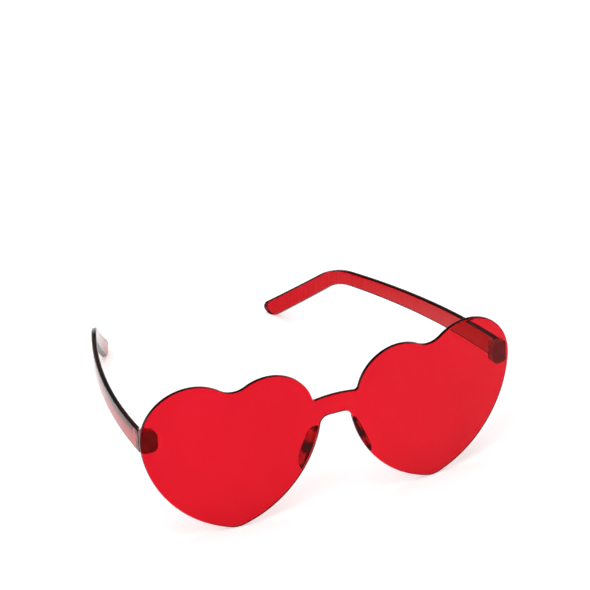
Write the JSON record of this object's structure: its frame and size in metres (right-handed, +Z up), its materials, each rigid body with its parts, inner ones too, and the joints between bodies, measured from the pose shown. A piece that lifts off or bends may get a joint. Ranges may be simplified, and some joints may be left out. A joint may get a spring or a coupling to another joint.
{
  "type": "heart shaped sunglasses",
  "caption": "Rimless sunglasses whose one-piece double-heart front carries nose pads and folding, inward-bowed temples on screw hinges.",
  "frame": {"origin": "centre of the bounding box at the level the pair stands on: both heart tips and both temple tips", "axes": "+X towards the wearer's left, +Y from the lenses towards the ears, +Z up"},
  "size_m": [0.148, 0.1376, 0.0601],
  "materials": {
    "lens": "polished clear red plastic",
    "nose_pad": "clear pale red plastic",
    "end_piece": "glossy red plastic",
    "temple": "glossy clear dark red plastic",
    "screw": "machined"
  },
  "bodies": {
    "front": {"front_lens": "lens", "left_nose_pad": "nose_pad", "right_nose_pad": "nose_pad", "left_end_piece": "end_piece", "right_end_piece": "end_piece", "left_hinge_screw": "screw", "right_hinge_screw": "screw"},
    "left_temple": {"left_temple": "temple"},
    "right_temple": {"right_temple": "temple"}
  },
  "joints": [
    {"name": "left_temple_fold", "type": "hinge", "parent": "front", "child": "left_temple", "pos_m": [0.0699, -0.05574, 0.03978], "axis": [0, 0.0546, 0.9985], "range_deg": [0, 75]},
    {"name": "right_temple_fold", "type": "hinge", "parent": "front", "child": "right_temple", "pos_m": [-0.0699, -0.05574, 0.03978], "axis": [0, -0.0546, -0.9985], "range_deg": [0, 70]}
  ]
}
